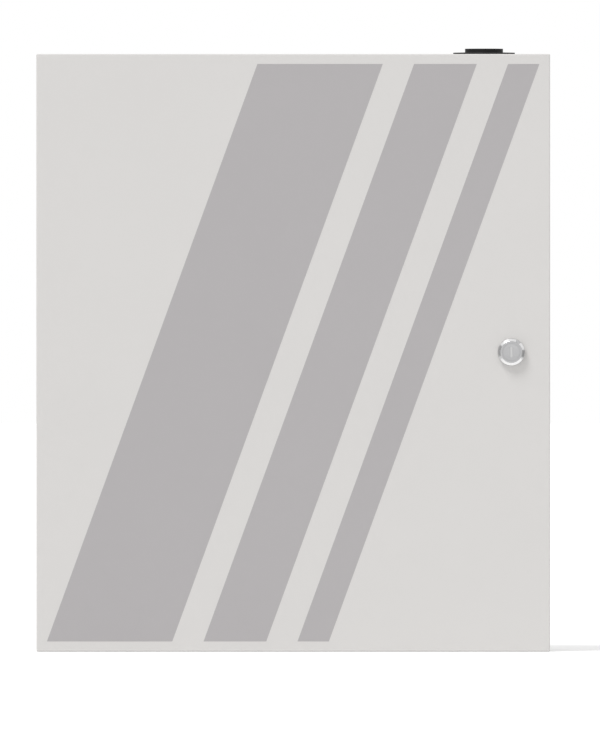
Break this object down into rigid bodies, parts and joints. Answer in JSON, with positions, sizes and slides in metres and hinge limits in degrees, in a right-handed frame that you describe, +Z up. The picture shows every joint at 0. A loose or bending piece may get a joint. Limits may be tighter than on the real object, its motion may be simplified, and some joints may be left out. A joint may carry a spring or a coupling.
{
  "type": "fire alarm control panel",
  "caption": "Wall-mounted steel fire alarm control panel with a lockable hinged door, control board, power supply and standby batteries inside.",
  "frame": {"origin": "middle of the back face, where the box meets the wall", "axes": "+Y into the wall, so the door faces -Y; +Z up along the panel's height; +X to the right as seen by someone facing the door"},
  "size_m": [0.318, 0.0996, 0.3737],
  "materials": {
    "powder_coat": "light grey powder coat",
    "zinc_steel": "zinc plated",
    "lock_chrome": "polished plate",
    "aluminium": "bare",
    "galvanised": "galvanised sheet",
    "black_plastic": "moulded",
    "nylon": "natural nylon",
    "board_laminate": "green solder mask",
    "terminal_plastic": "green moulded",
    "relay_plastic": "blue moulded",
    "battery_plastic": "grey moulded",
    "fuse_glass": "clear tube with plated caps",
    "red_lamp": "tinted lens",
    "amber_lamp": "tinted lens",
    "green_lamp": "tinted lens",
    "red_button": "moulded",
    "amber_button": "moulded",
    "red_insulation": "wire insulation",
    "black_insulation": "wire insulation",
    "earth_insulation": "green and yellow wire insulation"
  },
  "bodies": {
    "box": {"back_box": "powder_coat", "cable_entry_plug": "black_plastic", "hinge_leaf_box_upper": "zinc_steel", "hinge_leaf_box_lower": "zinc_steel", "hinge_pin_upper": "zinc_steel", "hinge_pin_lower": "zinc_steel", "main_board": "board_laminate", "board_support_upper_left": "nylon", "board_support_upper_right": "nylon", "board_support_lower_left": "nylon", "board_support_lower_right": "nylon", "zone_terminals": "terminal_plastic", "output_terminals": "terminal_plastic", "power_terminals": "terminal_plastic", "relay_fire": "relay_plastic", "relay_fault": "relay_plastic", "processor_chip": "black_plastic", "buzzer": "black_plastic", "fuse_holder": "black_plastic", "fuse": "fuse_glass", "heat_sink": "aluminium", "lamp_fire": "red_lamp", "lamp_fault": "amber_lamp", "lamp_power": "green_lamp", "silence_switch": "black_plastic", "reset_switch": "black_plastic", "supply_chassis": "aluminium", "supply_cover": "galvanised", "supply_terminals": "black_plastic", "battery_left_case": "battery_plastic", "battery_left_lid": "battery_plastic", "battery_right_case": "battery_plastic", "battery_right_lid": "battery_plastic", "battery_bracket": "galvanised", "bracket_screw_left": "zinc_steel", "bracket_screw_right": "zinc_steel", "tamper_bracket": "zinc_steel", "tamper_switch": "black_plastic", "earth_stud": "zinc_steel", "earth_nut": "zinc_steel", "battery_link_lead": "black_insulation", "battery_positive_lead": "red_insulation", "battery_negative_lead": "black_insulation", "supply_positive_lead": "red_insulation", "supply_negative_lead": "black_insulation", "supply_earth_lead": "earth_insulation", "door_earth_lead": "earth_insulation", "tamper_lead": "black_insulation"},
    "door": {"door": "powder_coat", "hinge_leaf_door_upper": "zinc_steel", "hinge_leaf_door_lower": "zinc_steel", "lock_housing": "lock_chrome", "lock_nut": "zinc_steel", "door_earth_stud": "zinc_steel"},
    "lock": {"lock_plug": "lock_chrome", "lock_cam": "zinc_steel", "lock_cam_screw": "zinc_steel"},
    "silence": {"silence_button": "amber_button"},
    "reset": {"reset_button": "red_button"},
    "plunger": {"tamper_plunger": "nylon"}
  },
  "joints": [
    {"name": "door_hinge", "type": "hinge", "parent": "box", "child": "door", "pos_m": [-0.1545, -0.088, 0], "axis": [0, 0, -1], "range_deg": [0, 110], "deforming": ["door_earth_lead"]},
    {"name": "lock_turn", "type": "hinge", "parent": "door", "child": "lock", "pos_m": [0.135, -0.095, 0.0005], "axis": [0, 1, 0], "range_deg": [0, 90]},
    {"name": "silence_press", "type": "slide", "parent": "box", "child": "silence", "axis": [0, 1, 0], "range_m": [0, 0.0015], "stiffness_N_per_m": 1500},
    {"name": "reset_press", "type": "slide", "parent": "box", "child": "reset", "axis": [0, 1, 0], "range_m": [0, 0.0015], "stiffness_N_per_m": 1500},
    {"name": "plunger_slide", "type": "slide", "parent": "box", "child": "plunger", "axis": [0, -1, 0], "range_m": [0, 0.004]}
  ],
  "couplings": [
    {"joint": "plunger_slide", "follows": "door_hinge", "m_per_rad": 0.0020835}
  ]
}
